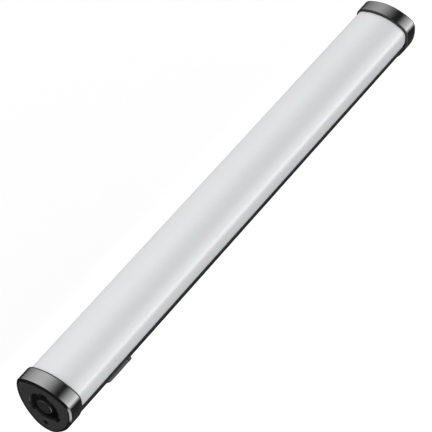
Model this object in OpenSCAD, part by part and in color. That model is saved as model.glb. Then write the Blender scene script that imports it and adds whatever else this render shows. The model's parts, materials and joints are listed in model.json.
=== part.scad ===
// LED light tube: a battery tube light with a rounded-triangle section.
// The tube lies along X with its twist-lock socket at the -X end. The milky diffuser faces +Z
// and the aluminium back points down. The origin is the middle of the whole tube. The section is
// drawn about the socket's axis, which lies a little above the origin.

/* [Tube] */
// Overall length over both end caps
tube_l = 503.5; // [501:2.5:621]
// Width across the two corners of the end caps
cap_w = 52.5; // [52:0.1:54]
// Length of each glossy end cap along the tube
band_l = 14; // [13.5:0.1:15]
// How far the diffuser is set in from the caps all round
body_step = 1.8; // [1.6:0.1:1.9]
// How far the aluminium back is set in from the caps all round
back_step = 0.9; // [0.8:0.1:1]
// Thickness of the seal between cap and body
gasket_t = 1.2; // [0.8:0.1:1.4]

/* [Section] */
// Radius of the two corners beside the diffuser
corner_r = 9.8; // [9.4:0.1:10.2]
// Height of the two corners' centres above the socket's axis
corner_z = 11; // [10.8:0.1:11.4]
// Radius of the rounded back
bottom_r = 17.8; // [17.4:0.1:18.4]
// Height of the rounded back's centre, below the socket's axis
bottom_z = -11.6; // [-12:0.1:-11.4]
// Radius of the gently curved front
top_r = 46.9; // [45:0.1:49]
// Radius of the two flanks
side_r = 44.7; // [43:0.1:47]
// Height of the seam between diffuser and back
seam_z = 1; // [0.8:0.1:1.2]

/* [Walls] */
// Wall thickness of the aluminium back
shell_t = 2.9; // [2.8:0.1:3]
// Wall thickness of the diffuser
lens_t = 1.5; // [1.4:0.1:1.6]
// Radius of the diffuser's four lower corners, seen from the side
lens_corner_r = 5; // [2:0.5:5]
// Height of the deck that carries the light board
deck_z = 7; // [6.8:0.1:7.4]
// Thickness of the deck
deck_t = 2; // [1.8:0.1:2.2]

/* [End caps] */
// Width of the chamfer round the cap's outer edge
chamfer_w = 1; // [0.6:0.1:1.2]
// Depth of the same chamfer along the tube
chamfer_l = 1.5; // [1:0.1:1.6]
// Thickness of the matt face plate
plate_t = 3; // [2.8:0.1:3.2]
// Radius of the socket's round opening
socket_r = 13.9; // [13.6:0.1:14.2]
// Outer radius of the three entry slots
slot_r = 16.3; // [16:0.1:16.4]
// Width of each entry slot, in degrees
slot_deg = 32; // [24:1:36]
// Radius of the hub in the middle of the socket
boss_r = 7.2; // [6.8:0.1:7.4]
// Radius of the tripod thread in the far end
thread_r = 3.175; // [3:0.005:3.2]

/* [Controls] */
// Length of the control panel
panel_l = 64; // [62:1:66]
// Width of the control panel
panel_w = 18; // [17:0.5:19]
// Radius of each push button
button_r = 3.5; // [3.2:0.1:3.7]
// Spacing of the push buttons
button_pitch = 8.5; // [8:0.1:8.5]

/* [Port cover] */
// Distance of the port cover's middle from the near end
cover_s = 66.8; // [60:0.1:70]
// Length of the port cover
cover_l = 26.4; // [26:0.1:28]
// Width of the port cover
cover_w = 13; // [12:0.5:13.5]
// How far the cover and its hinge stand out of the flank
cover_h = 2.7; // [2.6:0.1:3]

/* [Light and power] */
// Spacing of the emitters along the tube
emitter_pitch = 15; // [12:1:20]
// Radius of a battery cell
cell_r = 9.2; // [9:0.1:9.2]
// Length of a battery cell
cell_l = 65; // [64:0.5:65]
// Cells in each of the two rows
cells_per_row = 4; // [3:1:4]

/* [Hidden] */
$fn = 96;
eps = 0.01;
far_reach = 90;

near_x = -tube_l / 2;
body_x0 = near_x + band_l + gasket_t;
body_l = -2 * body_x0;

// gaps between pieces
glue_gap = 0.05;
slide_gap = 0.1;
running_gap = 0.06;

// section insets, each measured from the cap's outline
lens_in = body_step + lens_t;
seal_in = 0.3;
wall_in = back_step + shell_t;
rail_in = lens_in + 0.2;
hook_w = 1;
groove_in = rail_in + hook_w;
rail_wall = 1.2;
bay_in = groove_in + rail_wall;
corner_steps = 6;
hook_top = seam_z + 1.6;
groove_top = hook_top + 0.2;
shoulder_z = seam_z - 2;
bay_top = deck_z - deck_t;

// screw seats in the back's extrusion
low_screw_z = -20.2;
low_boss_r = 3.2;
low_tap_r = 1.25;
side_screw = [19.4, 2.9];
side_boss_r = 2;
side_tap_r = 1.05;
boss_rib_w = 2.4;
low_head = [2.4, 1.6];
low_shank = [1.2, 20];
side_head = [2, 1.4];
side_shank = [1, 11];

// end cap
plate_recess = 0.2;
plate_in = 2.2;
plate_back = plate_recess + plate_t;
core_in = 4;
flange_t = 2;
flange_x = band_l - flange_t;
pillar_r = 2.9;
low_clear_r = 1.7;
side_clear_r = 1.35;
head_bore_r = 2.6;
head_bore_l = 2.2;

// socket
cup_r = 17.2;
cup_bore_r = 16.5;
cup_floor_t = 1.5;
cup_floor_x = flange_x - cup_floor_t;
slot_angles = [90, 210, 330];
lip_chamfer = 0.5;
stub_r = 2.9;
stub_end = band_l + 3.4;
nut_corner_r = 4.8;
nut_t = 3;
ring_r = 11.2;
detent_angle = 135;
detent_r = 1.75;
detent_front = 3.8;
detent_l = 6.8;
detent_body_r = 2.7;
detent_body_x = 7;
detent_body_l = 6.9;
contact_angles = [60, 70, 80, 100];
contact_r = 0.75;
contact_front = 5.5;
contact_l = 8.4;

// thread insert in the far cap
insert_r = 5;
insert_flange_r = 6.5;
insert_flange_t = 1;
insert_l = band_l - plate_recess;
insert_hub_r = 8.5;
thread_l = 12;

// flank geometry: the flank arcs are tangent to the corner and back arcs
corner = [cap_w / 2 - corner_r, corner_z];
bottom = [0, bottom_z];
corner_gap = side_r - corner_r;
bottom_gap = side_r - bottom_r;
span = corner - bottom;
span_l = norm(span);
foot = (bottom_gap ^ 2 - corner_gap ^ 2 + span_l ^ 2) / (2 * span_l);
rise = sqrt(bottom_gap ^ 2 - foot ^ 2);
flank = bottom + foot * span / span_l + rise * [-span.y, span.x] / span_l;
crown = [0, corner.y - sqrt((top_r - corner_r) ^ 2 - corner.x ^ 2)];

// the socket's axis above the origin, so that the origin is the middle of the whole tube
lift = -(crown.y + top_r + bottom_z - bottom_r) / 2;

// unit normals where the arcs meet
top_n = (corner - crown) / norm(corner - crown);
side_n = (corner - flank) / norm(corner - flank);
low_n = (bottom - flank) / norm(bottom - flank);

// sectors of the outline: [arc centre, arc radius, bounding polygon]
right_sectors = [
    [corner, corner_r, [corner, corner + far_reach * side_n, corner + far_reach * top_n]],
    [flank, side_r, [corner, bottom, bottom + far_reach * low_n, corner + far_reach * side_n]],
];
mid_sectors = [
    [crown, top_r, [corner, corner + far_reach * top_n, flip(corner + far_reach * top_n), flip(corner)]],
    [bottom, bottom_r, [bottom, flip(bottom + far_reach * low_n), bottom + far_reach * low_n]],
];
left_sectors = [for (s = right_sectors) [flip(s[0]), s[1], [for (p = s[2]) flip(p)]]];
sectors = concat(right_sectors, mid_sectors, left_sectors);
core = [corner, flip(corner), bottom];

// how far the back's surface stands out of the flank frames
flank_face = body_step - back_step;

// control panel on the +Y flank
panel_tilt = 29;
panel_x = near_x + 54;
panel_lip = 1.4;
panel_lip_t = 1.2;
board_t = 1.6;
panel_board_w = -8;
panel_post_r = 1.8;
window_l = 24;
window_h = 11;
window_t = 1.2;
window_recess = 0.6;
window_back = flank_face - window_recess - window_t;
window_x = panel_l / 2 - window_l / 2 - 5.5;
button_x0 = -panel_l / 2 + 4.5;
button_top = flank_face + 0.5;
button_back = -3.4;
button_travel = 0.4;
switch_w = 6;
switch_h = 3.4;
plunger_r = 1.6;

// port cover on the -Y flank
cover_tilt = 26;
cover_x = near_x + cover_s;
knuckle_r = 1.6;
hinge_x = cover_l / 2 - knuckle_r;
hinge_w = cover_h - knuckle_r;
hinge_pin_r = 0.75;
cover_under = -0.3;
cover_top = cover_h - 0.1;
cover_ramp = 4.5;
cover_lift = 0.6;
hinge_gap = 0.7;
grip_x = 5.5;
grip_size = [1.2, 0.7];
grip_edge = 2;
ear_in = 4.6;
housing_l = cover_l + 3.4;
housing_w = 15;
housing_top = -0.7;
housing_rim = 0.3;
rim_gap = 0.4;
housing_back = -4.2;
housing_lip = 1;
housing_lip_w = -3.2;
port_x = -1;
port_size = [8.94, 3.26];
port_mouth = -1.9;
port_depth = 7.3;
port_wall = 0.35;
well_size = [14, 7];
port_board_size = [30, 14];

// light engine
pad_t = 0.5;
pad_w = 32;
light_board_w = 34;
engine_l = body_l - 14;
engine_z = deck_z + pad_t;
emitter_w = 5;
emitter_h = 1.5;
emitter_row_y = 9;
emitters_per_row = floor((engine_l - 20) / emitter_pitch) + 1;

// battery
cell_y = 9.35;
cell_z = -5.5;
strip_t = 0.3;
nub_r = 2.75;
nub_l = 0.5;
cell_pitch = cell_l + strip_t;
pack_x0 = near_x + 96;
pack_l = cells_per_row * cell_pitch;
rib_t = 4;
rib_gap = 0.05;
rib_half_w = 17.2;
rib_top = 4.4;
rib_low = -16;

// driver board
driver_l = 96;
driver_w = 30;
driver_x = tube_l / 2 - 24 - driver_l / 2;
driver_z = -3;
post_r = 2.2;
post_dx = driver_l / 2 - 6;
post_dy = driver_w / 2 - 3.5;

near_black = [0.08, 0.08, 0.09];
matt_grey = [0.2, 0.2, 0.21];
board_green = [0.1, 0.3, 0.18];

function flip(p) = [-p.x, p.y];
function polar(r, a) = [r * cos(a), r * sin(a)];

// Lifts what is drawn about the socket's axis into the tube's own frame.
module lifted() {
    translate([0, 0, lift]) children();
}

// The outline of the section, set in by an even distance.
module profile(inset) {
    polygon(core);
    for (s = sectors) {
        intersection() {
            translate(s[0]) circle(s[1] - inset);
            polygon(s[2]);
        }
    }
}

// Extrudes a drawing of the section along the tube.
module along(x, l) {
    translate([x, 0, 0]) rotate([90, 0, 90]) linear_extrude(l) children();
}

// A stretch of the outline whose inset changes evenly, as at a chamfer.
module bevel(x, l, inset_a, inset_b) {
    translate([x, 0, 0]) rotate([90, 0, 90]) {
        linear_extrude(l) polygon(core);
        for (s = sectors) {
            intersection() {
                translate([s[0].x, s[0].y, 0]) cylinder(h = l, r1 = s[1] - inset_a, r2 = s[1] - inset_b);
                linear_extrude(l) polygon(s[2]);
            }
        }
    }
}

// Keeps the part of a drawing between two heights.
module slab(z0, z1) {
    intersection() {
        children();
        translate([-far_reach / 2, z0]) square([far_reach, z1 - z0]);
    }
}

// A round bar along the tube.
module rod(x, l, r, at = [0, 0]) {
    translate([x, at.x, at.y]) rotate([0, 90, 0]) cylinder(h = l, r = r);
}

// A cone along the tube.
module cone(x, l, ra, rb, at = [0, 0]) {
    translate([x, at.x, at.y]) rotate([0, 90, 0]) cylinder(h = l, r1 = ra, r2 = rb);
}

// Places an end's parts, drawn inwards from x = 0 at the face, at the near end.
module at_near() {
    translate([near_x, 0, 0]) children();
}

// Places the same at the far end.
module at_far() {
    mirror([1, 0, 0]) translate([near_x, 0, 0]) children();
}

// A frame on the +Y flank: X along the tube, Y straight out, starting level with the diffuser.
module on_flank(x, tilt) {
    translate([x, flank.x, flank.y])
        rotate([-tilt, 0, 0])
            translate([0, side_r - body_step, 0])
                children();
}

module on_panel() {
    on_flank(panel_x, panel_tilt) children();
}

module on_cover() {
    mirror([0, 1, 0]) on_flank(cover_x, cover_tilt) children();
}

// A block in a flank frame, centred along and across, between two depths.
module flank_block(l, w, y0, y1, x = 0) {
    translate([x - l / 2, y0, -w / 2]) cube([l, y1 - y0, w]);
}

// A round bar straight out of a flank.
module flank_rod(x, z, r, y0, y1) {
    translate([x, y0, z]) rotate([-90, 0, 0]) cylinder(h = y1 - y0, r = r);
}

module low_boss() {
    translate([0, low_screw_z]) circle(low_boss_r);
    translate([-boss_rib_w / 2, bottom_z - bottom_r + wall_in - 1])
        square([boss_rib_w, low_screw_z - bottom_z + bottom_r - wall_in + 1]);
}

module side_bosses() {
    for (side = [-1, 1]) {
        translate([side * side_screw.x, side_screw.y]) circle(side_boss_r);
    }
}

module back_section() {
    difference() {
        union() {
            difference() {
                union() {
                    slab(-far_reach / 2, seam_z) profile(back_step);
                    slab(seam_z - eps, groove_top) profile(groove_in);
                    slab(groove_top - eps, deck_z) profile(rail_in);
                }
                slab(-far_reach / 2, shoulder_z) profile(wall_in);
                slab(shoulder_z - eps, bay_top) profile(bay_in);
            }
            low_boss();
            side_bosses();
        }
        translate([0, low_screw_z]) circle(low_tap_r);
        for (side = [-1, 1]) {
            translate([side * side_screw.x, side_screw.y]) circle(side_tap_r);
        }
    }
}

module back_shell() {
    lifted() color(near_black)
    difference() {
        along(body_x0, body_l) back_section();
        on_panel() flank_block(panel_l + 2 * slide_gap, panel_w + 2 * slide_gap, -6, 4);
        on_cover() flank_block(housing_l + 2 * slide_gap, housing_w + 2 * slide_gap, -6, 4);
    }
}

module diffuser_section() {
    slab(seam_z + slide_gap, far_reach / 2) difference() {
        profile(body_step);
        profile(lens_in);
    }
    slab(seam_z + slide_gap, hook_top) difference() {
        profile(lens_in - eps);
        profile(lens_in + hook_w);
    }
}

// The diffuser from the side: square above, with rounded lower corners.
module diffuser_side() {
    low = seam_z + slide_gap;
    centre = [body_l / 2 - lens_corner_r, low + lens_corner_r];
    right = [for (i = [0 : corner_steps]) centre + polar(lens_corner_r, -90 + 90 * i / corner_steps)];
    left = [for (i = [corner_steps : -1 : 0]) flip(right[i])];
    polygon(concat(right, [[body_l / 2, far_reach], [-body_l / 2, far_reach]], left));
}

module diffuser() {
    lifted() color("whitesmoke")
    intersection() {
        along(body_x0, body_l) diffuser_section();
        translate([0, far_reach / 2, 0]) rotate([90, 0, 0]) linear_extrude(far_reach) diffuser_side();
    }
}

module cap_shape() {
    difference() {
        union() {
            difference() {
                union() {
                    bevel(0, chamfer_l, chamfer_w, 0);
                    along(chamfer_l, band_l - chamfer_l) profile(0);
                }
                along(-1, plate_back + 1) profile(plate_in);
                along(plate_back - eps, flange_x - plate_back + eps) profile(core_in);
            }
            rod(plate_back, flange_x - plate_back + eps, pillar_r, [0, low_screw_z]);
        }
        rod(-1, band_l + 2, low_clear_r, [0, low_screw_z]);
        for (side = [-1, 1]) {
            rod(0, band_l + 2, side_clear_r, [side * side_screw.x, side_screw.y]);
        }
    }
}

module near_cap_band() {
    lifted() color(near_black)
    at_near() difference() {
        cap_shape();
        rod(0, band_l + 2, stub_r + slide_gap);
        rod(0, band_l + 2, detent_body_r, polar(ring_r, detent_angle));
        for (a = contact_angles) {
            rod(0, band_l + 2, contact_r + slide_gap, polar(ring_r, a));
        }
    }
}

module far_cap_band() {
    lifted() color(near_black)
    at_far() difference() {
        union() {
            cap_shape();
            rod(plate_back, flange_x - plate_back + eps, insert_hub_r);
        }
        rod(0, band_l + 2, insert_r);
    }
}

module plate_shape() {
    difference() {
        along(plate_recess, plate_t) profile(plate_in + glue_gap);
        rod(-1, plate_t + 2, low_clear_r, [0, low_screw_z]);
        rod(-1, plate_recess + head_bore_l + 1, head_bore_r, [0, low_screw_z]);
    }
}

module key_slot(angle) {
    rotate(angle) intersection() {
        circle(slot_r);
        polygon([[0, 0], polar(2 * slot_r, -slot_deg / 2), polar(2 * slot_r, slot_deg / 2)]);
    }
}

module near_face_plate() {
    lifted() color(matt_grey)
    at_near() difference() {
        plate_shape();
        rod(-1, plate_t + 2, socket_r);
        cone(plate_recess - eps, lip_chamfer, socket_r + lip_chamfer, socket_r);
        along(-1, plate_t + 2) for (a = slot_angles) key_slot(a);
    }
}

module far_face_plate() {
    lifted() color(matt_grey)
    at_far() difference() {
        plate_shape();
        rod(-1, plate_t + 2, insert_r);
        rod(-1, plate_recess + insert_flange_t + 1, insert_flange_r + slide_gap);
    }
}

module gasket_shape() {
    along(band_l, gasket_t) difference() {
        profile(seal_in);
        profile(groove_in - slide_gap);
    }
}

module near_gasket() {
    lifted() color([0.05, 0.05, 0.05]) at_near() gasket_shape();
}

module far_gasket() {
    lifted() color([0.05, 0.05, 0.05]) at_far() gasket_shape();
}

module bayonet_socket() {
    lifted() color([0.12, 0.12, 0.13])
    at_near() difference() {
        rod(plate_back, flange_x - plate_back, cup_r);
        rod(plate_back - 1, cup_floor_x - plate_back + 1, cup_bore_r);
        rod(0, band_l, stub_r + slide_gap);
        rod(0, band_l, detent_body_r, polar(ring_r, detent_angle));
        for (a = contact_angles) {
            rod(0, band_l, contact_r + slide_gap, polar(ring_r, a));
        }
    }
}

module centre_boss() {
    lifted() color([0.25, 0.25, 0.26])
    at_near() {
        cone(plate_recess, lip_chamfer, boss_r - lip_chamfer, boss_r);
        rod(plate_recess + lip_chamfer, cup_floor_x - plate_recess - lip_chamfer, boss_r);
        rod(cup_floor_x - eps, stub_end - cup_floor_x, stub_r);
    }
}

module boss_nut() {
    lifted() color("silver")
    at_near() translate([band_l, 0, 0]) rotate([0, 90, 0]) difference() {
        cylinder(h = nut_t, r = nut_corner_r, $fn = 6);
        translate([0, 0, -1]) cylinder(h = nut_t + 2, r = stub_r + glue_gap);
    }
}

module detent_housing() {
    lifted() color("goldenrod")
    at_near() difference() {
        rod(detent_body_x, detent_body_l, detent_body_r, polar(ring_r, detent_angle));
        rod(detent_body_x - 1, detent_body_l + 0.5, detent_r + running_gap, polar(ring_r, detent_angle));
    }
}

module detent_pin() {
    tip = 0.8;
    lifted() color("silver")
    at_near() {
        cone(detent_front, tip, detent_r - tip, detent_r, polar(ring_r, detent_angle));
        rod(detent_front + tip, detent_l - tip, detent_r, polar(ring_r, detent_angle));
    }
}

module contact_pins() {
    tip = 0.4;
    lifted() color("gold")
    at_near() for (a = contact_angles) {
        cone(contact_front, tip, contact_r - tip, contact_r, polar(ring_r, a));
        rod(contact_front + tip, contact_l - tip, contact_r, polar(ring_r, a));
    }
}

module thread_insert() {
    lifted() color("goldenrod")
    at_far() difference() {
        union() {
            rod(plate_recess, insert_l, insert_r - glue_gap);
            rod(plate_recess, insert_flange_t, insert_flange_r);
        }
        rod(plate_recess - 1, thread_l + 1, thread_r);
    }
}

// A cap screw pointing into the tube, with its head's back at x. Head and shank are [radius, length].
module cap_screw(x, head, shank, at) {
    difference() {
        rod(x - head[1], head[1], head[0], at);
        translate([x - head[1] - 1, at.x, at.y])
            rotate([0, 90, 0]) cylinder(h = 1 + head[1] / 2, r = head[0] / 2, $fn = 6);
    }
    rod(x - eps, shank[1], shank[0], at);
}

module end_screw_set() {
    cap_screw(plate_recess + head_bore_l, low_head, low_shank, [0, low_screw_z]);
    for (side = [-1, 1]) {
        cap_screw(flange_x, side_head, side_shank, [side * side_screw.x, side_screw.y]);
    }
}

module end_screws() {
    lifted() color([0.3, 0.3, 0.32]) {
        at_near() end_screw_set();
        at_far() end_screw_set();
    }
}

module thermal_pad() {
    lifted() color("lightsteelblue")
    translate([-engine_l / 2, -pad_w / 2, deck_z]) cube([engine_l, pad_w, pad_t]);
}

module light_board() {
    lifted() color("white")
    translate([-engine_l / 2, -light_board_w / 2, engine_z]) cube([engine_l, light_board_w, board_t]);
}

module emitter() {
    translate([-emitter_w / 2, -emitter_w / 2, 0]) cube([emitter_w, emitter_w, emitter_h]);
    cylinder(h = emitter_h + 0.3, r = emitter_w * 0.38);
}

module emitters() {
    lifted() color([0.95, 0.85, 0.4])
    for (row = [-1, 1], i = [0 : emitters_per_row - 1]) {
        translate([(i - (emitters_per_row - 1) / 2) * emitter_pitch, row * emitter_row_y, engine_z + board_t])
            emitter();
    }
}

module battery_cells() {
    lifted() color([0.2, 0.45, 0.6])
    for (row = [-1, 1], i = [0 : cells_per_row - 1]) {
        rod(pack_x0 + i * cell_pitch, cell_l - nub_l, cell_r, [row * cell_y, cell_z]);
        rod(pack_x0 + i * cell_pitch + cell_l - nub_l - eps, nub_l + eps, nub_r, [row * cell_y, cell_z]);
    }
}

module cell_rib() {
    difference() {
        union() {
            slab(rib_low, shoulder_z - rib_gap) profile(wall_in + rib_gap);
            slab(shoulder_z - 1, rib_top) translate([-rib_half_w, rib_low])
                square([2 * rib_half_w, rib_top - rib_low]);
        }
        for (row = [-1, 1]) {
            translate([row * cell_y, cell_z]) circle(cell_r + rib_gap);
        }
    }
}

module cell_ribs() {
    lifted() color([0.15, 0.15, 0.17])
    for (i = [0 : cells_per_row - 1]) {
        along(pack_x0 + i * cell_pitch + cell_l / 2 - rib_t / 2, rib_t) cell_rib();
    }
}

module cell_strips() {
    strip_w = 2 * cell_y + 8;
    lifted() color("silver")
    for (i = [0 : cells_per_row]) {
        translate([pack_x0 - strip_t + i * cell_pitch, -strip_w / 2, cell_z - 3.5])
            cube([strip_t, strip_w, 7]);
    }
}

module panel_holes() {
    flank_block(window_l + 2 * slide_gap, window_h + 2 * slide_gap, -8, 4, window_x);
    for (i = [0 : 3]) {
        flank_rod(button_x0 + i * button_pitch, 0, button_r + running_gap, -8, 4);
    }
}

module panel_posts(r, y0, y1) {
    for (sx = [-1, 1], sz = [-1, 1]) {
        flank_rod(sx * (panel_l / 2 - 2.2), sz * (panel_w / 2 - 2.2), r, y0, y1);
    }
}

module control_panel() {
    lifted() color(near_black)
    difference() {
        union() {
            intersection() {
                along(panel_x - panel_l, 2 * panel_l) difference() {
                    profile(back_step);
                    profile(wall_in + glue_gap);
                }
                on_panel() flank_block(panel_l, panel_w, -8, 4);
            }
            intersection() {
                along(panel_x - panel_l, 2 * panel_l) difference() {
                    profile(wall_in + glue_gap - eps);
                    profile(wall_in + panel_lip_t);
                }
                on_panel() flank_block(panel_l + 2 * panel_lip, panel_w + 2 * panel_lip, -8, 4);
            }
            on_panel() panel_posts(panel_post_r, panel_board_w, -2.5);
        }
        on_panel() panel_holes();
    }
}

module display_window() {
    lifted() color([0.1, 0.12, 0.16])
    on_panel() flank_block(window_l, window_h, window_back, window_back + window_t, window_x);
}

module display_module() {
    lifted() color([0.25, 0.3, 0.4])
    on_panel() flank_block(window_l - 1, window_h - 1, panel_board_w, window_back - glue_gap, window_x);
}

module control_board() {
    lifted() color(board_green)
    on_panel() flank_block(panel_l, panel_w, panel_board_w - board_t, panel_board_w);
}

module push_button(i) {
    x = button_x0 + i * button_pitch;
    edge = 0.4;
    on_panel() {
        flank_rod(x, 0, button_r, button_back, button_top - edge);
        translate([x, button_top - edge - eps, 0]) rotate([-90, 0, 0])
            cylinder(h = edge + eps, r1 = button_r, r2 = button_r - edge);
    }
}

module power_button() {
    lifted() color("firebrick") push_button(0);
}

module mode_button() {
    lifted() color("dimgray") push_button(1);
}

module up_button() {
    lifted() color("dimgray") push_button(2);
}

module down_button() {
    lifted() color("dimgray") push_button(3);
}

module button_switches() {
    lifted() color("gray")
    on_panel() for (i = [0 : 3]) {
        x = button_x0 + i * button_pitch;
        flank_block(switch_w, switch_w, panel_board_w, panel_board_w + switch_h, x);
        flank_rod(x, 0, plunger_r, panel_board_w + 1, button_back - button_travel - glue_gap);
    }
}

module hinge_ears() {
    ear_t = cover_w / 2 - ear_in;
    for (side = [-1, 1]) {
        translate([hinge_x, 0, side * (ear_in + ear_t / 2) - ear_t / 2]) {
            translate([0, hinge_w, 0]) cylinder(h = ear_t, r = knuckle_r);
            translate([-knuckle_r, housing_top - 1, 0]) cube([2 * knuckle_r, hinge_w - housing_top + 1, ear_t]);
        }
    }
}

module stadium(size, y0, y1, x) {
    r = size.y / 2;
    for (side = [-1, 1]) {
        flank_rod(x + side * (size.x / 2 - r), 0, r, y0, y1);
    }
    flank_block(size.x - size.y, size.y, y0, y1, x);
}

module port_posts(r, y0, y1) {
    for (side = [-1, 1]) {
        flank_rod(side * (port_board_size.x / 2 - 3), 0, r, y0, y1);
    }
}

module port_housing() {
    lifted() color(matt_grey)
    on_cover() difference() {
        union() {
            difference() {
                flank_block(housing_l, housing_w, housing_back, housing_rim);
                flank_block(cover_l + 2 * rim_gap, cover_w + 2 * rim_gap, housing_top, housing_rim + 1);
            }
            flank_block(housing_l + 2 * housing_lip, housing_w + 2 * housing_lip, housing_back, housing_lip_w);
            hinge_ears();
            port_posts(2, port_mouth - port_depth, housing_back + 1);
        }
        flank_block(well_size.x, well_size.y, port_mouth, 1, port_x);
        stadium([port_size.x + 2 * slide_gap, port_size.y + 2 * slide_gap], housing_back - 1, 0, port_x);
        translate([hinge_x, hinge_w, -cover_w]) cylinder(h = 2 * cover_w, r = hinge_pin_r);
    }
}

module cover_outline() {
    tail = hinge_x - knuckle_r - hinge_gap;
    polygon([
        [-cover_l / 2, cover_under],
        [tail, cover_under],
        [tail, cover_top],
        [-cover_l / 2 + cover_ramp, cover_top],
        [-cover_l / 2, cover_under + cover_lift]
    ]);
}

module port_cover() {
    groove_x = -cover_l / 2 + grip_x;
    knuckle_l = 2 * (ear_in - slide_gap);
    lifted() color([0.32, 0.32, 0.33])
    on_cover() difference() {
        union() {
            translate([0, 0, -cover_w / 2]) linear_extrude(cover_w) cover_outline();
            translate([hinge_x, hinge_w, -knuckle_l / 2]) cylinder(h = knuckle_l, r = knuckle_r);
            translate([hinge_x - knuckle_r - 1, cover_under, -knuckle_l / 2])
                cube([knuckle_r + 1, cover_top - cover_under, knuckle_l]);
        }
        translate([hinge_x, hinge_w, -cover_w]) cylinder(h = 2 * cover_w, r = hinge_pin_r + running_gap);
        translate([groove_x, cover_top - grip_size.y, -cover_w / 2 + grip_edge])
            cube([grip_size.x, 2 * grip_size.y, cover_w - 2 * grip_edge]);
    }
}

module cover_hinge_pin() {
    lifted() color("silver")
    on_cover() translate([hinge_x, hinge_w, -cover_w / 2]) cylinder(h = cover_w, r = hinge_pin_r);
}

module port_seal() {
    lifted() color([0.1, 0.1, 0.1])
    on_cover() stadium([well_size.x - 2.5, well_size.y - 1.5], cover_under - 1.2, cover_under, port_x);
}

module usb_port() {
    inner = [port_size.x - 2 * port_wall, port_size.y - 2 * port_wall];
    lifted() color("silver")
    on_cover() {
        difference() {
            stadium(port_size, port_mouth - port_depth, port_mouth, port_x);
            stadium(inner, port_mouth - port_depth + 1, port_mouth + 1, port_x);
        }
        flank_block(inner.x - 2, 0.7, port_mouth - port_depth + 0.5, port_mouth - 0.6, port_x);
    }
}

module port_board() {
    board_top = port_mouth - port_depth;
    lifted() color(board_green)
    on_cover() flank_block(port_board_size.x, port_board_size.y, board_top - board_t, board_top);
}

module driver_posts(r, z0, z1) {
    for (sx = [-1, 1], sy = [-1, 1]) {
        translate([driver_x + sx * post_dx, sy * post_dy, z0]) cylinder(h = z1 - z0, r = r);
    }
}

module board_posts() {
    lifted() color("goldenrod") driver_posts(post_r, driver_z, bay_top);
}

// Small heads on the free side of each circuit board.
module board_screws() {
    head_l = 1.2;
    lifted() color("silver") {
        driver_posts(1.8, driver_z - board_t - head_l, driver_z - board_t);
        on_panel() panel_posts(1.6, panel_board_w - board_t - head_l, panel_board_w - board_t);
        on_cover() port_posts(1.6, port_mouth - port_depth - board_t - head_l, port_mouth - port_depth - board_t);
    }
}

module driver_board() {
    lifted() color(board_green)
    translate([driver_x - driver_l / 2, -driver_w / 2, driver_z - board_t]) cube([driver_l, driver_w, board_t]);
}

// Two storage capacitors, two coils and a plug under the driver board.
module driver_parts() {
    top = driver_z - board_t;
    lifted() color([0.2, 0.2, 0.35]) {
        for (i = [0, 1]) {
            translate([driver_x - 28 + i * 13, 0, top - 10]) cylinder(h = 10, r = 5);
            translate([driver_x + 2 + i * 15, 0, top - 6]) cylinder(h = 6, r = 6);
        }
        translate([driver_x + 30, -6, top - 6]) cube([8, 12, 6]);
    }
}

module radio_module() {
    lifted() color("lightgray")
    translate([driver_x + 12, -7, driver_z]) cube([20, 14, 2.4]);
}

// The two power wires from the pack's last strip to the driver board's edge.
module battery_lead() {
    lead_r = 0.9;
    x0 = pack_x0 + pack_l;
    x1 = driver_x - driver_l / 2;
    lifted() color("crimson")
    for (side = [-1, 1]) {
        rod(x0, x1 - x0, lead_r, [side * 3, driver_z - board_t / 2]);
    }
}

back_shell();
diffuser();
near_cap_band();
far_cap_band();
near_face_plate();
far_face_plate();
near_gasket();
far_gasket();
bayonet_socket();
centre_boss();
boss_nut();
detent_housing();
detent_pin();
contact_pins();
thread_insert();
end_screws();
thermal_pad();
light_board();
emitters();
battery_cells();
cell_ribs();
cell_strips();
control_panel();
display_window();
display_module();
control_board();
power_button();
mode_button();
up_button();
down_button();
button_switches();
port_housing();
port_cover();
cover_hinge_pin();
port_seal();
usb_port();
port_board();
board_screws();
driver_board();
board_posts();
driver_parts();
radio_module();
battery_lead();
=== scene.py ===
"""LED light tube: looks, studio and camera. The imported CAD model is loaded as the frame, in metres."""
import json
import math
import bmesh
import bpy
from mathutils import Matrix, Vector


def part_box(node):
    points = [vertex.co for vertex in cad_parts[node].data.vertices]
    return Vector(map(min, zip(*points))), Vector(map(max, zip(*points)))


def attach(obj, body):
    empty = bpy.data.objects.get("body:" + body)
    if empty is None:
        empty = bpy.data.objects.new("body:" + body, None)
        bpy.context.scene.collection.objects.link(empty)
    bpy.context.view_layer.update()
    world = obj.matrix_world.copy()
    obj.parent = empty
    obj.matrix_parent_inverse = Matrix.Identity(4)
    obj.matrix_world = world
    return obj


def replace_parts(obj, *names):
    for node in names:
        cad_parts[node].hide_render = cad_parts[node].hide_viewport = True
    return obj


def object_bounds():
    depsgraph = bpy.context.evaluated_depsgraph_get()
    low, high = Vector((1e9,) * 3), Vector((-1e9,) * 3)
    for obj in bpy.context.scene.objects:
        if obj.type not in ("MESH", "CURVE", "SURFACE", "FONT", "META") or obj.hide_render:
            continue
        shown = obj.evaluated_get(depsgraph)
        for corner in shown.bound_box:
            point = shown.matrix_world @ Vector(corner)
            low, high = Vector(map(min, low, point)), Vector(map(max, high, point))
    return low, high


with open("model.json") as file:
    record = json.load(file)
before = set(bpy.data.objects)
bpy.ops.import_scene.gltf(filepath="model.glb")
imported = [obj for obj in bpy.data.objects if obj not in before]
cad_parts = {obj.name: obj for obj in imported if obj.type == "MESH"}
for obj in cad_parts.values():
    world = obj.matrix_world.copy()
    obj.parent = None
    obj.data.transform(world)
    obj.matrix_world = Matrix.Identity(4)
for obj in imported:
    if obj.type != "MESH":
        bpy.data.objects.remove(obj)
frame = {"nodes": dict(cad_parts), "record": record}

MM = 0.001

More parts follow.
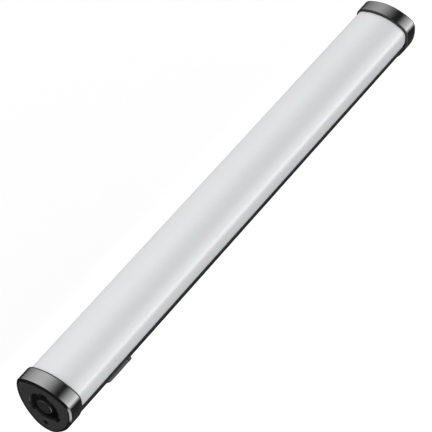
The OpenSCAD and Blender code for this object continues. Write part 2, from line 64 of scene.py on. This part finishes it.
bpy.context.view_layer.update()
cad_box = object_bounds()
mounts = {m["name"]: m for m in frame["record"]["mounts"]}
socket = Vector(mounts["twist_socket"]["pos_m"])

near_lo, near_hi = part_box("near_cap_band")
far_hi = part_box("far_cap_band")[1]
lens_lo, lens_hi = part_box("diffuser")

TUBE_L = far_hi.x - near_lo.x
CAP_H = near_hi.z - near_lo.z
BODY_STEP = near_hi.z - lens_hi.z
LENS_CORNER = 5 * MM

# The section's arcs, as shares of the cap's height
CAP_W = 0.97139 * CAP_H
CORNER_R = 0.18133 * CAP_H
CORNER_UP = 0.20353 * CAP_H
BOTTOM_R = 0.32935 * CAP_H
SIDE_R = 0.82707 * CAP_H

# Straight steps that each arc is drawn with
SIDE_STEPS = 24
CORNER_STEPS = 32
CROWN_STEPS = 22


# ---------------------------------------------------------------- section

def polar(centre, radius, angle):
    """The point at an angle on a circle, in the YZ plane."""
    return centre + radius * Vector((math.cos(angle), math.sin(angle)))


def angle_to(a, b):
    """The direction from a to b as an angle."""
    return math.atan2(b.y - a.y, b.x - a.x)


def flank_centre(corner, bottom):
    """Centre of the flank arc that touches both the corner arc and the back arc from outside."""
    corner_gap = SIDE_R - CORNER_R
    bottom_gap = SIDE_R - BOTTOM_R
    span = corner - bottom
    foot = (bottom_gap ** 2 - corner_gap ** 2 + span.length ** 2) / (2 * span.length)
    rise = math.sqrt(bottom_gap ** 2 - foot ** 2)
    return bottom + foot * span / span.length + rise * Vector((-span.y, span.x)) / span.length


def section_arcs():
    """The +Y half's arcs from the flank up to the crown, as (centre, radius, end angle, steps)."""
    corner = Vector((CAP_W / 2 - CORNER_R, socket.z + CORNER_UP))
    bottom = Vector((0, near_lo.z + BOTTOM_R))
    flank = flank_centre(corner, bottom)
    drop = near_hi.z - corner.y
    top_r = (corner.x ** 2 + drop ** 2 - CORNER_R ** 2) / (2 * (drop - CORNER_R))
    crown = Vector((0, near_hi.z - top_r))
    return [
        (flank, SIDE_R, angle_to(flank, corner), SIDE_STEPS),
        (corner, CORNER_R, angle_to(crown, corner), CORNER_STEPS),
        (crown, top_r, math.pi / 2, CROWN_STEPS),
    ]


ARCS = section_arcs()


def outline(start, inset):
    """The cap's outline, set in, from an angle on the flank up to the crown and down the other side."""
    points = []
    for centre, radius, end, steps in ARCS:
        points += [polar(centre, radius - inset, start + (end - start) * i / steps) for i in range(steps)]
        start = end
    crown = Vector((0, near_hi.z - inset))
    return points + [crown] + [Vector((-p.x, p.y)) for p in reversed(points)]


def lens_line(x, inset):
    """The diffuser's part of the outline. Its lower edge curves up at both ends."""
    near = min(x - lens_lo.x, lens_hi.x - x)
    short = max(LENS_CORNER - near, 0)
    lift = LENS_CORNER - math.sqrt(LENS_CORNER ** 2 - short ** 2)
    flank = ARCS[0][0]
    start = math.asin((lens_lo.z + lift - flank.y) / (SIDE_R - inset))
    return outline(start, inset)


# ---------------------------------------------------------------- pieces

def new_piece(name, points, faces):
    """A smooth mesh piece that rides on the tube."""
    mesh = bpy.data.meshes.new(name)
    mesh.from_pydata(points, [], faces)
    mesh.validate()
    obj = bpy.data.objects.new(name, mesh)
    bpy.context.scene.collection.objects.link(obj)
    tidy = bmesh.new()
    tidy.from_mesh(mesh)
    bmesh.ops.recalc_face_normals(tidy, faces=tidy.faces)
    tidy.to_mesh(mesh)
    tidy.free()
    mesh.shade_smooth()
    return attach(obj, "tube")


def sweep(name, profile, line):
    """Sweeps a closed profile of (x, inset) points along an open line round the section."""
    lines = [line(x, inset) for x, inset in profile]
    count = len(lines[0])
    points = [(x, p.x, p.y) for (x, _), row in zip(profile, lines) for p in row]
    faces = []
    for i in range(len(profile)):
        j = (i + 1) % len(profile)
        for k in range(count - 1):
            faces.append((i * count + k, j * count + k, j * count + k + 1, i * count + k + 1))
    faces.append([i * count for i in range(len(profile))])
    faces.append([i * count + count - 1 for i in reversed(range(len(profile)))])
    return new_piece(name, points, faces)


def soften(obj, width, segments):
    """Rounds a piece's sharp edges and keeps its broad faces flat in the shading."""
    edge = obj.modifiers.new("edge", "BEVEL")
    edge.width = width
    edge.segments = segments
    edge.limit_method = "ANGLE"
    edge.angle_limit = math.radians(28)
    edge.miter_outer = "MITER_ARC"
    flat = obj.modifiers.new("flat", "WEIGHTED_NORMAL")
    flat.weight = 80


def soften_node(name, width):
    """The same for a CAD node, whose mesh is first joined up and cleared of flat triangles."""
    obj = frame["nodes"][name]
    if "custom_normal" in obj.data.attributes:
        obj.data.attributes.remove(obj.data.attributes["custom_normal"])
    obj.data.shade_smooth()
    weld = obj.modifiers.new("weld", "WELD")
    weld.merge_threshold = 0.002 * MM
    merge = obj.modifiers.new("merge", "DECIMATE")
    merge.decimate_type = "DISSOLVE"
    merge.angle_limit = math.radians(0.5)
    soften(obj, width, segments=2)


def make_diffuser():
    """The milky front with rounded lower corners at both ends."""
    wall = 1.5 * MM
    edge = 0.3 * MM
    bend_steps = 8
    turns = [math.pi / 2 * i / bend_steps for i in range(bend_steps + 1)]
    bends = [LENS_CORNER * (1 - math.cos(turn)) for turn in turns]
    along = [lens_lo.x + b for b in bends] + [lens_hi.x - b for b in reversed(bends)]
    outer = [(x, BODY_STEP) for x in along]
    inner = [(x, BODY_STEP + wall) for x in reversed(along)]
    lens = sweep("diffuser_lens", outer + inner, lens_line)
    soften(lens, edge, segments=3)
    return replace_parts(lens, "diffuser")


# ---------------------------------------------------------------- node graphs

class Graph:
    """A material's nodes, with short calls for the few kinds used here."""

    def __init__(self, name, color, roughness, metallic=0.0, ior=1.5):
        self.material = bpy.data.materials.new(name)
        self.material.use_nodes = True
        self.tree = self.material.node_tree
        self.shader = self.tree.nodes["Principled BSDF"]
        self.shader.inputs["Base Color"].default_value = (*color, 1)
        self.shader.inputs["Roughness"].default_value = roughness
        self.shader.inputs["Metallic"].default_value = metallic
        self.shader.inputs["IOR"].default_value = ior
        self.place = self.tree.nodes.new("ShaderNodeTexCoord").outputs["Object"]
        self.relief = None

    def link(self, source, node, socket_name):
        self.tree.links.new(source, node.inputs[socket_name])

    def stretched(self, stretch):
        """Object coordinates, scaled along each axis."""
        node = self.tree.nodes.new("ShaderNodeMapping")
        node.inputs["Scale"].default_value = stretch
        self.link(self.place, node, "Vector")
        return node.outputs["Vector"]

    def noise(self, scale, stretch=(1, 1, 1), detail=3.0):
        """Cloudy noise. The scale is in waves per metre."""
        node = self.tree.nodes.new("ShaderNodeTexNoise")
        node.inputs["Scale"].default_value = scale
        node.inputs["Detail"].default_value = detail
        self.link(self.stretched(stretch), node, "Vector")
        return node.outputs["Fac"]

    def cells(self, scale):
        """Distance to scattered points, for pits and beads."""
        node = self.tree.nodes.new("ShaderNodeTexVoronoi")
        node.inputs["Scale"].default_value = scale
        self.link(self.place, node, "Vector")
        return node.outputs["Distance"]

    def rings(self, scale, axis="X"):
        """Even waves along one axis."""
        node = self.tree.nodes.new("ShaderNodeTexWave")
        node.wave_type = "BANDS"
        node.bands_direction = axis
        node.inputs["Scale"].default_value = scale
        self.link(self.place, node, "Vector")
        return node.outputs["Fac"]

    def spread(self, value, low, high, out_low, out_high):
        """Maps a range of one value smoothly on to another."""
        node = self.tree.nodes.new("ShaderNodeMapRange")
        node.interpolation_type = "SMOOTHSTEP"
        self.link(value, node, "Value")
        for key, number in zip(("From Min", "From Max", "To Min", "To Max"), (low, high, out_low, out_high)):
            node.inputs[key].default_value = number
        return node.outputs["Result"]

    def combine(self, operation, a, b):
        """A sum, product or other step on two values, either of which may be a plain number."""
        node = self.tree.nodes.new("ShaderNodeMath")
        node.operation = operation
        for value, entry in zip((a, b), node.inputs):
            if isinstance(value, (int, float)):
                entry.default_value = value
            else:
                self.tree.links.new(value, entry)
        return node.outputs["Value"]

    def tint(self, value, color_a, color_b):
        """Base colour that runs between two colours."""
        node = self.tree.nodes.new("ShaderNodeMix")
        node.data_type = "RGBA"
        # Colours share their names with the node's plain numbers, so they are taken by place
        entry_a, entry_b, mixed = node.inputs[6], node.inputs[7], node.outputs[2]
        self.link(value, node, "Factor")
        entry_a.default_value = (*color_a, 1)
        entry_b.default_value = (*color_b, 1)
        self.link(mixed, self.shader, "Base Color")

    def rough(self, value):
        self.link(value, self.shader, "Roughness")

    def bump(self, height, depth):
        """Adds relief. Depth is the height of the relief in metres."""
        node = self.tree.nodes.new("ShaderNodeBump")
        node.inputs["Strength"].default_value = 1
        node.inputs["Distance"].default_value = depth
        self.link(height, node, "Height")
        if self.relief is not None:
            self.link(self.relief, node, "Normal")
        self.relief = node.outputs["Normal"]
        self.link(self.relief, self.shader, "Normal")

    def wear(self, size, low, high):
        """1 on sharp edges that are rubbed bare and 0 elsewhere."""
        geometry = self.tree.nodes.new("ShaderNodeNewGeometry")
        patches = self.noise(size, detail=5)
        edge = self.spread(geometry.outputs["Pointiness"], low, high, 0, 1)
        return self.combine("MULTIPLY", edge, self.spread(patches, 0.45, 0.65, 0, 1))


# ---------------------------------------------------------------- materials

def milky_lens():
    """Extruded milky plastic: faint streaks along the tube and a slight haze."""
    g = Graph("milky_lens", (0.63, 0.635, 0.64), 0.13)
    haze = g.noise(60, (0.15, 1, 1))
    g.tint(haze, (0.61, 0.615, 0.628), (0.635, 0.638, 0.645))
    g.rough(g.spread(g.noise(900, (0.05, 1, 1)), 0.3, 0.7, 0.11, 0.16))
    g.bump(g.noise(1400, (0.015, 1, 1)), 0.0015 * MM)
    g.bump(g.noise(90, (0.1, 1, 1), 2), 0.02 * MM)
    g.shader.inputs["Subsurface Weight"].default_value = 0.08
    g.shader.inputs["Subsurface Scale"].default_value = 2 * MM
    return g.material


def cap_gloss():
    """Moulded gloss plastic with hairline scratches and soft smudges."""
    g = Graph("cap_gloss", (0.003, 0.003, 0.0035), 0.09, ior=2.0)
    smudge = g.spread(g.noise(70, detail=4), 0.35, 0.75, 0.075, 0.13)
    hairline = g.spread(g.noise(2600, (1, 0.03, 0.03), 2), 0.62, 0.7, 0, 0.05)
    g.rough(g.combine("ADD", smudge, hairline))
    g.bump(g.noise(160, detail=2), 0.004 * MM)
    return g.material


def plate_matt():
    """Matt moulded plastic with a fine spark-eroded texture."""
    g = Graph("plate_matt", (0.02, 0.02, 0.021), 0.5)
    grain = g.noise(5200, detail=4)
    g.tint(g.noise(140, detail=4), (0.017, 0.017, 0.018), (0.024, 0.024, 0.025))
    g.rough(g.spread(g.noise(300), 0.3, 0.7, 0.48, 0.6))
    g.bump(grain, 0.02 * MM)
    g.bump(g.cells(2400), 0.008 * MM)
    return g.material


def black_aluminium():
    """Black anodised extrusion with fine die lines along the tube."""
    g = Graph("black_aluminium", (0.008, 0.008, 0.009), 0.3, ior=1.36)
    g.tint(g.noise(120, (0.1, 1, 1)), (0.006, 0.006, 0.007), (0.011, 0.011, 0.012))
    g.rough(g.spread(g.noise(1600, (0.02, 1, 1)), 0.3, 0.7, 0.24, 0.36))
    g.bump(g.noise(2600, (0.01, 1, 1), 2), 0.004 * MM)
    g.bump(g.noise(6000, detail=3), 0.003 * MM)
    return g.material


def dark_metal():
    """Bead-blasted and anodised metal, worn a little lighter on its edges."""
    g = Graph("dark_metal", (0.012, 0.012, 0.013), 0.38, ior=1.7)
    g.tint(g.wear(400, 0.52, 0.6), (0.011, 0.011, 0.012), (0.06, 0.06, 0.062))
    g.rough(g.spread(g.noise(800), 0.3, 0.7, 0.3, 0.46))
    g.bump(g.cells(3600), 0.006 * MM)
    return g.material


def seal_rubber():
    """Dull rubber with a dusty bloom."""
    g = Graph("seal_rubber", (0.01, 0.01, 0.01), 0.75)
    g.tint(g.noise(350, detail=5), (0.006, 0.006, 0.006), (0.018, 0.018, 0.018))
    g.bump(g.noise(3500), 0.01 * MM)
    return g.material


def steel():
    """Machined steel with turning marks."""
    g = Graph("steel", (0.55, 0.55, 0.54), 0.28, metallic=1)
    g.tint(g.noise(500, detail=4), (0.42, 0.42, 0.42), (0.62, 0.61, 0.6))
    g.rough(g.spread(g.noise(1500), 0.3, 0.7, 0.2, 0.38))
    g.bump(g.noise(5000, (4, 0.2, 0.2)), 0.004 * MM)
    return g.material


def black_steel():
    """Steel with a black-oxide skin, worn a little at the edges."""
    g = Graph("black_steel", (0.03, 0.03, 0.032), 0.4, metallic=1)
    g.tint(g.wear(900, 0.52, 0.56), (0.03, 0.03, 0.032), (0.16, 0.16, 0.165))
    g.rough(g.spread(g.noise(1500), 0.3, 0.7, 0.34, 0.5))
    g.bump(g.noise(5000, detail=4), 0.003 * MM)
    return g.material


def brass():
    """Machined brass whose bore shows the thread's 20 turns to the inch."""
    g = Graph("brass", (0.72, 0.52, 0.24), 0.25, metallic=1)
    g.tint(g.noise(400, detail=5), (0.6, 0.42, 0.18), (0.78, 0.6, 0.32))
    g.rough(g.spread(g.noise(900), 0.3, 0.7, 0.18, 0.36))
    inch = 25.4 * MM
    turns = 20 / inch
    # A wave texture of scale 1 repeats every pi / 10 metres
    thread = g.rings(turns * math.pi / 10)
    g.bump(thread, 0.35 * MM)
    return g.material


def circuit_board():
    """Green solder mask over faint copper tracks."""
    g = Graph("circuit_board", (0.02, 0.12, 0.06), 0.3)
    grid = g.combine("MULTIPLY", g.rings(60, "X"), g.rings(90, "Y"))
    tracks = g.spread(grid, 0.3, 0.4, 0, 1)
    g.tint(tracks, (0.012, 0.085, 0.04), (0.03, 0.16, 0.07))
    g.bump(tracks, 0.03 * MM)
    g.bump(g.noise(3000), 0.004 * MM)
    return g.material


def light_board_white():
    """White solder mask with printed bands between the emitters."""
    g = Graph("light_board_white", (0.8, 0.8, 0.78), 0.35)
    g.tint(g.spread(g.rings(20, "X"), 0.45, 0.5, 0, 1), (0.74, 0.74, 0.72), (0.84, 0.84, 0.82))
    g.bump(g.noise(2500), 0.005 * MM)
    return g.material


def emitter():
    """Yellow phosphor with a fine grain."""
    g = Graph("emitter", (0.85, 0.68, 0.2), 0.4)
    g.tint(g.noise(1800, detail=4), (0.8, 0.6, 0.14), (0.9, 0.76, 0.3))
    g.bump(g.cells(4000), 0.02 * MM)
    return g.material


def cell_wrap():
    """Shrink wrap with fine wrinkles."""
    g = Graph("cell_wrap", (0.06, 0.2, 0.36), 0.3)
    g.tint(g.noise(120), (0.05, 0.17, 0.32), (0.08, 0.24, 0.42))
    g.bump(g.noise(260, (0.4, 1, 1), 4), 0.05 * MM)
    return g.material


def dark_plastic():
    """Moulded black plastic with a fine texture."""
    g = Graph("dark_plastic", (0.016, 0.016, 0.017), 0.48)
    g.tint(g.noise(160, detail=4), (0.013, 0.013, 0.014), (0.02, 0.02, 0.021))
    g.rough(g.spread(g.noise(500), 0.3, 0.7, 0.42, 0.56))
    g.bump(g.noise(4800, detail=4), 0.014 * MM)
    return g.material


def cover_plastic():
    """Soft-touch grey plastic with patches of slight polish."""
    g = Graph("cover_plastic", (0.055, 0.055, 0.057), 0.55)
    g.tint(g.noise(220, detail=5), (0.048, 0.048, 0.05), (0.064, 0.064, 0.066))
    g.rough(g.spread(g.noise(90, detail=2), 0.35, 0.65, 0.45, 0.62))
    g.bump(g.noise(5200, detail=4), 0.012 * MM)
    return g.material


def pad_grey():
    """Soft filled silicone with a woven print."""
    g = Graph("pad_grey", (0.36, 0.41, 0.48), 0.7)
    weave = g.combine("MULTIPLY", g.rings(160, "X"), g.rings(160, "Y"))
    g.tint(weave, (0.33, 0.38, 0.45), (0.4, 0.45, 0.52))
    g.bump(weave, 0.04 * MM)
    return g.material


def window():
    """Smoked clear window with faint smears."""
    g = Graph("window", (0.12, 0.13, 0.15), 0.05)
    g.rough(g.spread(g.noise(220, detail=4), 0.4, 0.8, 0.03, 0.14))
    g.bump(g.noise(120, detail=2), 0.003 * MM)
    g.shader.inputs["Transmission Weight"].default_value = 0.6
    return g.material


def button_plastic():
    """Matt grey key with patches of polish."""
    g = Graph("button_plastic", (0.07, 0.07, 0.073), 0.5)
    g.tint(g.noise(500, detail=4), (0.06, 0.06, 0.063), (0.08, 0.08, 0.083))
    g.rough(g.spread(g.noise(260, detail=2), 0.35, 0.65, 0.34, 0.58))
    g.bump(g.noise(6000, detail=3), 0.008 * MM)
    return g.material


def power_plastic():
    """Matt red key."""
    g = Graph("power_plastic", (0.36, 0.022, 0.018), 0.48)
    g.tint(g.noise(500, detail=4), (0.32, 0.018, 0.015), (0.4, 0.03, 0.024))
    g.rough(g.spread(g.noise(260, detail=2), 0.35, 0.65, 0.34, 0.56))
    g.bump(g.noise(6000, detail=3), 0.008 * MM)
    return g.material


def component_body():
    """Dark moulded component."""
    g = Graph("component_body", (0.02, 0.02, 0.024), 0.4)
    g.tint(g.noise(600, detail=4), (0.016, 0.016, 0.018), (0.03, 0.03, 0.036))
    g.bump(g.noise(5000), 0.006 * MM)
    return g.material


def wire():
    """Glossy red insulation."""
    g = Graph("wire", (0.5, 0.02, 0.02), 0.3)
    g.tint(g.noise(300), (0.42, 0.015, 0.015), (0.55, 0.03, 0.03))
    g.bump(g.noise(700, (0.1, 1, 1)), 0.02 * MM)
    return g.material


MAKERS = [
    milky_lens, cap_gloss, plate_matt, black_aluminium, dark_metal, seal_rubber, steel, black_steel, brass,
    circuit_board, light_board_white, emitter, cell_wrap, dark_plastic, cover_plastic, pad_grey,
    window, button_plastic, power_plastic, component_body, wire,
]


def paint(obj, material):
    """Gives a piece one material."""
    obj.data.materials.clear()
    obj.data.materials.append(material)


# ---------------------------------------------------------------- studio

class Field:
    """A value worked out by nodes, for the studio's brightness over direction."""

    def __init__(self, tree, source):
        self.tree = tree
        self.source = source

    def step(self, operation, other=None, swap=False):
        node = self.tree.nodes.new("ShaderNodeMath")
        node.operation = operation
        entries = [self.source] if other is None else [self.source, other]
        if swap:
            entries.reverse()
        for entry, value in zip(node.inputs, entries):
            if isinstance(value, Field):
                value = value.source
            if isinstance(value, (int, float)):
                entry.default_value = value
            else:
                self.tree.links.new(value, entry)
        return Field(self.tree, node.outputs["Value"])

    def __add__(self, other):
        return self.step("ADD", other)

    def __sub__(self, other):
        return self.step("SUBTRACT", other)

    def __rsub__(self, other):
        return self.step("SUBTRACT", other, swap=True)

    def __mul__(self, other):
        return self.step("MULTIPLY", other)

    def rise(self, low, high):
        """0 below low and 1 above high, with a smooth step between."""
        node = self.tree.nodes.new("ShaderNodeMapRange")
        node.interpolation_type = "SMOOTHSTEP"
        self.tree.links.new(self.source, node.inputs["Value"])
        node.inputs["From Min"].default_value = low
        node.inputs["From Max"].default_value = high
        return Field(self.tree, node.outputs["Result"])

    def band(self, low, high, soft):
        """1 between low and high, with smooth sides."""
        return self.rise(low - soft, low + soft) * (1 - self.rise(high - soft, high + soft))

    def hill(self, centre, width):
        """A round hill of height 1."""
        off = (self - centre) * (1 / width)
        return (off * off * -1).step("EXPONENT")


def softboxes(tree, direction):
    """Brightness of the studio as polished surfaces see it.

    Two long soft boxes hang beyond the tube's far half, one on each side, with a dark gap above the
    tube. The one on the -Y side reaches lower, and has a brighter band. A tall box stands by the socket
    end on the -Y side, and a low one on the +Y side. Edges along x and y are parts of the unit
    direction, and all other edges are in degrees."""
    split = tree.nodes.new("ShaderNodeSeparateXYZ")
    tree.links.new(direction, split.inputs["Vector"])
    x, y, z = (Field(tree, split.outputs[name]) for name in "XYZ")
    degrees = 180 / math.pi
    over_plus_y = z.step("ARCTAN2", y) * degrees
    over_minus_y = z.step("ARCTAN2", y * -1) * degrees
    elevation = z.step("ARCSINE") * degrees

    long_glow = 3.3
    band_glow = 2.2
    tall_glow = 2.8
    low_glow = 2.0
    gap_glow = 0.05
    room_glow = 0.03

    # The +Y box leans over and dims towards the far end
    lean_middle = 0.43
    lean = 22
    dimming = 1.7
    further = x - lean_middle
    plus_box = over_plus_y.rise(-12, 52) * (1 - (over_plus_y + further * lean).rise(53, 96))
    plus_box = plus_box * (1 - further * dimming) * long_glow
    minus_box = (1 - over_minus_y.rise(60, 84)) * long_glow + over_minus_y.hill(20, 25) * band_glow
    minus_box = minus_box * over_minus_y.rise(-25, 25)
    beyond = (plus_box + minus_box + gap_glow) * x.rise(0.08, 0.28)

    tall = (y * -1).rise(0.28, 0.5) * (1 - x.rise(-0.1, 0.15)) * (1 - elevation.rise(-18, 18))
    low = y.rise(0.1, 0.4) * (1 - x.rise(-0.8, -0.55)) * elevation.band(-25, 30, 8)
    return beyond + tall * tall_glow + low * low_glow + room_glow


def make_world():
    """Even light for matt surfaces, soft boxes for polished ones and white behind the object."""
    world = bpy.data.worlds.new("studio")
    bpy.context.scene.world = world
    world.use_nodes = True
    tree = world.node_tree
    tree.nodes.clear()
    direction = tree.nodes.new("ShaderNodeTexCoord").outputs["Generated"]
    path = tree.nodes.new("ShaderNodeLightPath")
    glossy = Field(tree, path.outputs["Is Glossy Ray"])
    even = 1.06
    brightness = glossy * softboxes(tree, direction) + (1 - glossy) * even
    back = tree.nodes.new("ShaderNodeBackground")
    back.inputs["Color"].default_value = (1, 1, 1, 1)
    tree.links.new(brightness.source, back.inputs["Strength"])
    out = tree.nodes.new("ShaderNodeOutputWorld")
    tree.links.new(back.outputs["Background"], out.inputs["Surface"])


def make_edge_light():
    """A low strip light on the +Y side. The diffuser's far edge melts into the background."""
    length = 1.4 * TUBE_L
    width = 0.2 * TUBE_L
    reach = 0.6 * TUBE_L
    drop = 0.3 * reach
    middle = Vector((0, 0, socket.z))
    data = bpy.data.lights.new("edge_light", "AREA")
    data.shape = "RECTANGLE"
    data.size = length
    data.size_y = width
    data.energy = 1.2
    data.specular_factor = 0
    light = bpy.data.objects.new("edge_light", data)
    light.visible_glossy = False
    light.visible_camera = False
    light.location = (0, reach, socket.z - drop)
    light.rotation_euler = (middle - light.location).to_track_quat("-Z", "Y").to_euler()
    bpy.context.scene.collection.objects.link(light)


def make_floor():
    """A plain pale floor, well below the tube."""
    half = 12 * TUBE_L
    drop = 0.6 * TUBE_L
    level = cad_box[0].z - drop
    corners = [(sx * half, sy * half, level) for sx, sy in ((-1, -1), (1, -1), (1, 1), (-1, 1))]
    mesh = bpy.data.meshes.new("floor")
    mesh.from_pydata(corners, [], [(0, 1, 2, 3)])
    floor = bpy.data.objects.new("floor", mesh)
    bpy.context.scene.collection.objects.link(floor)
    floor.visible_glossy = False
    g = Graph("floor_paper", (0.95, 0.95, 0.95), 1.0)
    g.tint(g.noise(3), (0.948, 0.948, 0.948), (0.952, 0.952, 0.952))
    g.shader.inputs["Specular IOR Level"].default_value = 0
    paint(floor, g.material)


def make_camera():
    """The photograph's camera: a long lens above the socket end's -Y side."""
    azimuth = math.radians(-54.7)
    elevation = math.radians(49.43)
    roll = math.radians(-0.825)
    distance = 3.5438 * TUBE_L
    aim_along = 0.46237 * TUBE_L
    aim = Vector((near_lo.x + aim_along, 0, socket.z))
    ahead = Vector((
        -math.sin(azimuth) * math.cos(elevation),
        math.cos(azimuth) * math.cos(elevation),
        -math.sin(elevation),
    ))
    level = ahead.cross(Vector((0, 0, 1))).normalized()
    upright = level.cross(ahead)
    right = level * math.cos(roll) + upright * math.sin(roll)
    up = right.cross(ahead)
    data = bpy.data.cameras.new("camera")
    data.sensor_width = 36
    data.lens = 180.75
    data.shift_x = -0.0015
    data.shift_y = 0.00116
    data.clip_end = 50 * TUBE_L
    camera = bpy.data.objects.new("camera", data)
    turn = Matrix((right, up, -ahead)).transposed().to_4x4()
    camera.matrix_world = Matrix.Translation(aim - ahead * distance) @ turn
    bpy.context.scene.collection.objects.link(camera)
    bpy.context.scene.camera = camera


# ---------------------------------------------------------------- build

# Width in mm of the rounding on each CAD node's sharp edges
EDGES = {
    "near_cap_band": 0.45, "far_cap_band": 0.45,
    "near_face_plate": 0.18, "far_face_plate": 0.18,
    "near_gasket": 0.15, "far_gasket": 0.15,
    "back_shell": 0.2, "control_panel": 0.2, "display_window": 0.12,
    "power_button": 0.35, "mode_button": 0.35, "up_button": 0.35, "down_button": 0.35,
    "bayonet_socket": 0.15, "centre_boss": 0.25, "thread_insert": 0.12,
    "detent_pin": 0.15, "contact_pins": 0.1, "end_screws": 0.12,
    "port_housing": 0.2, "port_cover": 0.45, "cover_hinge_pin": 0.1,
    "port_seal": 0.2, "usb_port": 0.1,
}

materials = {maker.__name__: maker() for maker in MAKERS}
for subpart in frame["record"]["subparts"]:
    paint(frame["nodes"][subpart["node"]], materials[subpart["material_slot"]])
for node, width in EDGES.items():
    soften_node(node, width * MM)
paint(make_diffuser(), materials["milky_lens"])

make_world()
make_edge_light()
make_floor()
make_camera()
bpy.context.scene.view_settings.view_transform = "Standard"

bpy.context.view_layer.update()
